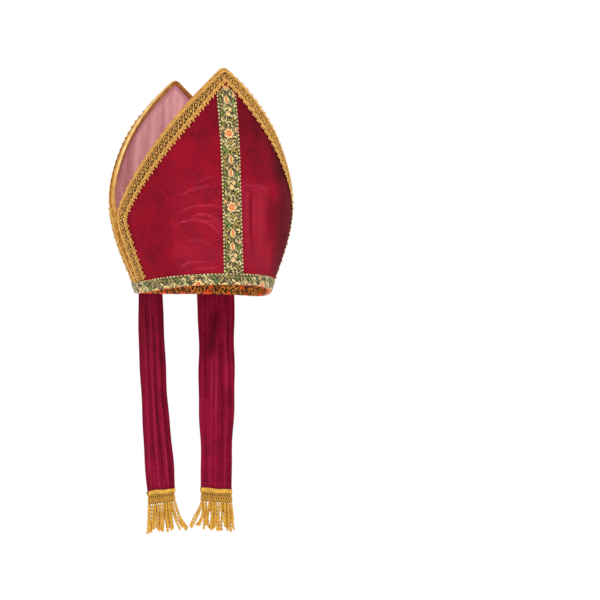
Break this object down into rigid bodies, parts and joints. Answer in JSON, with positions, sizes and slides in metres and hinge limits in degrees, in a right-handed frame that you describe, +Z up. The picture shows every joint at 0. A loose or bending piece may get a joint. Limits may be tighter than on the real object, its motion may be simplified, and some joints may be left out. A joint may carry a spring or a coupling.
{
  "type": "bishop mitre",
  "caption": "Tall folding ceremonial hat of stiff front and back panels that rise to points over an open crown, with a lined head opening and fringed lappets hanging behind.",
  "frame": {"origin": "middle of the head opening, at the lower edge of the two panels", "axes": "+Z up to the points, the front panel faces -Y, the lappets hang at +Y, the wearer's left is +X"},
  "size_m": [0.2674, 0.2108, 0.6508],
  "materials": {
    "panel_velvet": "crimson pile velvet on a stiff backing",
    "lappet_velvet": "soft crimson pile velvet",
    "lining_satin": "dusty rose satin, shiny",
    "binding_satin": "old gold satin tape",
    "metal_lace": "open braid of gold metal thread",
    "brocade_ribbon": "woven floral ribbon with gold weft",
    "bullion_fringe": "twisted gold bullion cords"
  },
  "bodies": {
    "root": {"front_panel": "panel_velvet", "back_panel": "panel_velvet", "front_lining": "lining_satin", "back_lining": "lining_satin", "front_binding": "binding_satin", "back_binding": "binding_satin", "front_lace": "metal_lace", "back_lace": "metal_lace", "rim_band": "brocade_ribbon", "orphrey": "brocade_ribbon", "left_lappet": "lappet_velvet", "right_lappet": "lappet_velvet", "left_lappet_ribbon": "brocade_ribbon", "right_lappet_ribbon": "brocade_ribbon", "left_fringe": "bullion_fringe", "right_fringe": "bullion_fringe"}
  },
  "joints": []
}
